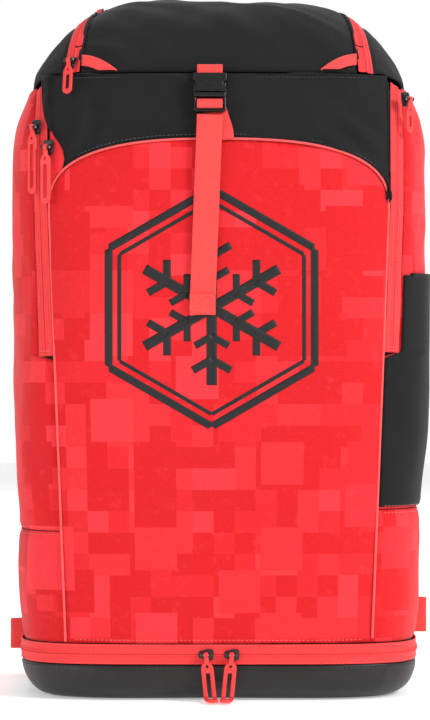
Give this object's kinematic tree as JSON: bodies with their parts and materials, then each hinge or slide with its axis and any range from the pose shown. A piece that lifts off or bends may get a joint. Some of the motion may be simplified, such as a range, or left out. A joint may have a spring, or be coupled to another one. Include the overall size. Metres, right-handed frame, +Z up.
{
  "type": "ski boot backpack",
  "caption": "Tall coral and black ski boot backpack with a zipped dome lid, arched front panel, side zips, buckled strap, fold-down coated base tray and padded harness.",
  "frame": {"origin": "middle of the base tray underside, on the floor", "axes": "+X to the right of the front view, front towards -Y, +Z up the bag"},
  "size_m": [0.354, 0.3456, 0.5533],
  "materials": {
    "camo_fabric": "printed woven polyester in coral red with a random pattern of small squares",
    "black_fabric": "matte black ripstop weave",
    "stretch_fabric": "smooth matte black stretch fabric",
    "coated_fabric": "black coated tarpaulin, satin with soft creases",
    "zip_tape": "plain coral zip tape with a coil",
    "coral_webbing": "ribbed coral polyester webbing",
    "buckle_plastic": "satin black acetal",
    "slider_metal": "black lacquered die-cast slider",
    "pull_rubber": "soft coral rubber",
    "pad_mesh": "black air mesh over foam",
    "board_plastic": "flexible stiffener sheet",
    "lining_fabric": "grey lining fabric"
  },
  "bodies": {
    "shell": {"front_panel": "camo_fabric", "front_yoke": "black_fabric", "side_panel_left": "camo_fabric", "side_panel_right": "camo_fabric", "lower_side_left": "camo_fabric", "lower_side_right": "camo_fabric", "top_gusset_left": "black_fabric", "top_gusset_right": "black_fabric", "rear_top_panel": "black_fabric", "back_panel": "black_fabric", "side_zip_left": "zip_tape", "side_zip_right": "zip_tape", "side_pocket": "stretch_fabric", "base_zip_upper": "zip_tape", "floor_panel": "lining_fabric", "frame_sheet": "board_plastic", "lid_zip_outer": "zip_tape", "strap_loop": "coral_webbing", "buckle_female": "buckle_plastic", "cinch_strap_anchor": "coral_webbing", "back_pad_left": "pad_mesh", "back_pad_right": "pad_mesh", "lumbar_pad": "pad_mesh", "lower_webbing_left": "coral_webbing", "lower_webbing_right": "coral_webbing", "anchor_wing_left": "coral_webbing", "anchor_wing_right": "coral_webbing"},
    "lid": {"lid_panel": "black_fabric", "lid_zip_inner": "zip_tape", "corner_tab_left": "coral_webbing", "corner_tab_right": "coral_webbing"},
    "base": {"base_tray": "coated_fabric", "base_zip_lower": "zip_tape", "base_board": "board_plastic"},
    "buckle": {"buckle_male": "buckle_plastic"},
    "latch_left": {"buckle_latch_left": "buckle_plastic"},
    "latch_right": {"buckle_latch_right": "buckle_plastic"},
    "cinch_tail": {"cinch_strap_tail": "coral_webbing"},
    "haul_loop": {"haul_handle": "coral_webbing"},
    "strap_left": {"shoulder_strap_left": "pad_mesh", "ladder_lock_left": "buckle_plastic"},
    "strap_right": {"shoulder_strap_right": "pad_mesh", "ladder_lock_right": "buckle_plastic"},
    "side_slider_outer": {"side_slider_outer": "slider_metal"},
    "side_pull_outer": {"side_pull_outer": "pull_rubber"},
    "side_slider_inner": {"side_slider_inner": "slider_metal"},
    "side_pull_inner": {"side_pull_inner": "pull_rubber"},
    "side_slider_right": {"side_slider_right": "slider_metal"},
    "side_pull_right": {"side_pull_right": "pull_rubber"},
    "lid_slider_front": {"lid_slider_front": "slider_metal"},
    "lid_pull_front": {"lid_pull_front": "pull_rubber"},
    "lid_slider_rear": {"lid_slider_rear": "slider_metal"},
    "lid_pull_rear": {"lid_pull_rear": "pull_rubber"},
    "base_slider_left": {"base_slider_left": "slider_metal"},
    "base_pull_left": {"base_pull_left": "pull_rubber"},
    "base_slider_right": {"base_slider_right": "slider_metal"},
    "base_pull_right": {"base_pull_right": "pull_rubber"}
  },
  "joints": [
    {"name": "lid_fold", "type": "hinge", "parent": "shell", "child": "lid", "pos_m": [0, -0.126, 0.4885], "axis": [1, 0, 0], "range_deg": [0, 88]},
    {"name": "base_fold", "type": "hinge", "parent": "shell", "child": "base", "pos_m": [0, 0.121, 0.028], "axis": [1, 0, 0], "range_deg": [0, 85]},
    {"name": "buckle_release", "type": "slide", "parent": "shell", "child": "buckle", "axis": [0, -0.2937, -0.9559], "range_m": [0, 0.02]},
    {"name": "latch_left_squeeze", "type": "hinge", "parent": "buckle", "child": "latch_left", "pos_m": [-0.0153, -0.13885, 0.47182], "axis": [0, 0.9559, -0.2937], "range_deg": [0, 8], "stiffness_Nm_per_rad": 0.05},
    {"name": "latch_right_squeeze", "type": "hinge", "parent": "buckle", "child": "latch_right", "pos_m": [0.0013, -0.13885, 0.47182], "axis": [0, -0.9559, 0.2937], "range_deg": [0, 8], "stiffness_Nm_per_rad": 0.05},
    {"name": "cinch_tail_swing", "type": "hinge", "parent": "buckle", "child": "cinch_tail", "pos_m": [-0.007, -0.1452, 0.4544], "axis": [-1, 0, 0], "range_deg": [0, 120]},
    {"name": "haul_loop_swing", "type": "hinge", "parent": "shell", "child": "haul_loop", "pos_m": [0, 0.1245, 0.468], "axis": [1, 0, 0], "range_deg": [0, 100]},
    {"name": "strap_left_swing", "type": "hinge", "parent": "shell", "child": "strap_left", "pos_m": [0, 0.136, 0.426], "axis": [1, 0, 0], "range_deg": [0, 25]},
    {"name": "strap_right_swing", "type": "hinge", "parent": "shell", "child": "strap_right", "pos_m": [0, 0.136, 0.426], "axis": [1, 0, 0], "range_deg": [0, 25]},
    {"name": "side_outer_zip", "type": "slide", "parent": "shell", "child": "side_slider_outer", "axis": [0.0231, -0.0189, -0.9996], "range_m": [0, 0.1561]},
    {"name": "side_outer_pull_swing", "type": "hinge", "parent": "side_slider_outer", "child": "side_pull_outer", "pos_m": [-0.14535, -0.12465, 0.446], "axis": [-0.7465, 0.6653, 0], "range_deg": [0, 165]},
    {"name": "side_inner_zip", "type": "slide", "parent": "shell", "child": "side_slider_inner", "axis": [0.0258, -0.0137, -0.9996], "range_m": [0, 0.1401]},
    {"name": "side_inner_pull_swing", "type": "hinge", "parent": "side_slider_inner", "child": "side_pull_inner", "pos_m": [-0.13464, -0.13233, 0.43], "axis": [-0.8682, 0.4963, 0], "range_deg": [0, 165]},
    {"name": "side_right_zip", "type": "slide", "parent": "shell", "child": "side_slider_right", "axis": [-0.0203, -0.0193, -0.9996], "range_m": [0, 0.1781]},
    {"name": "side_right_pull_swing", "type": "hinge", "parent": "side_slider_right", "child": "side_pull_right", "pos_m": [0.14871, -0.12141, 0.468], "axis": [-0.6913, -0.7225, 0], "range_deg": [0, 165]},
    {"name": "lid_front_zip", "type": "slide", "parent": "shell", "child": "lid_slider_front", "axis": [0.0973, 0.565, 0.8193], "range_m": [0, 0.018]},
    {"name": "lid_front_pull_swing", "type": "hinge", "parent": "lid_slider_front", "child": "lid_pull_front", "pos_m": [-0.11729, -0.11772, 0.49879], "axis": [-0.9089, 0.3859, -0.1582], "range_deg": [0, 150]},
    {"name": "lid_rear_zip", "type": "slide", "parent": "lid", "child": "lid_slider_rear", "axis": [0.1818, 0.9808, 0.0711], "range_m": [0, 0.018]},
    {"name": "lid_rear_pull_swing", "type": "hinge", "parent": "lid_slider_rear", "child": "lid_pull_rear", "pos_m": [-0.09728, 0.01115, 0.54927], "axis": [0.9088, -0.1951, 0.3688], "range_deg": [0, 150]},
    {"name": "base_left_zip", "type": "slide", "parent": "shell", "child": "base_slider_left", "axis": [-1, 0, 0], "range_m": [0, 0.085]},
    {"name": "base_left_pull_swing", "type": "hinge", "parent": "base_slider_left", "child": "base_pull_left", "pos_m": [-0.01, -0.1421, 0.036], "axis": [-1, 0, 0], "range_deg": [0, 150]},
    {"name": "base_right_zip", "type": "slide", "parent": "shell", "child": "base_slider_right", "axis": [1, 0, 0], "range_m": [0, 0.085]},
    {"name": "base_right_pull_swing", "type": "hinge", "parent": "base_slider_right", "child": "base_pull_right", "pos_m": [0.01, -0.1421, 0.036], "axis": [-1, 0, 0], "range_deg": [0, 150]}
  ]
}
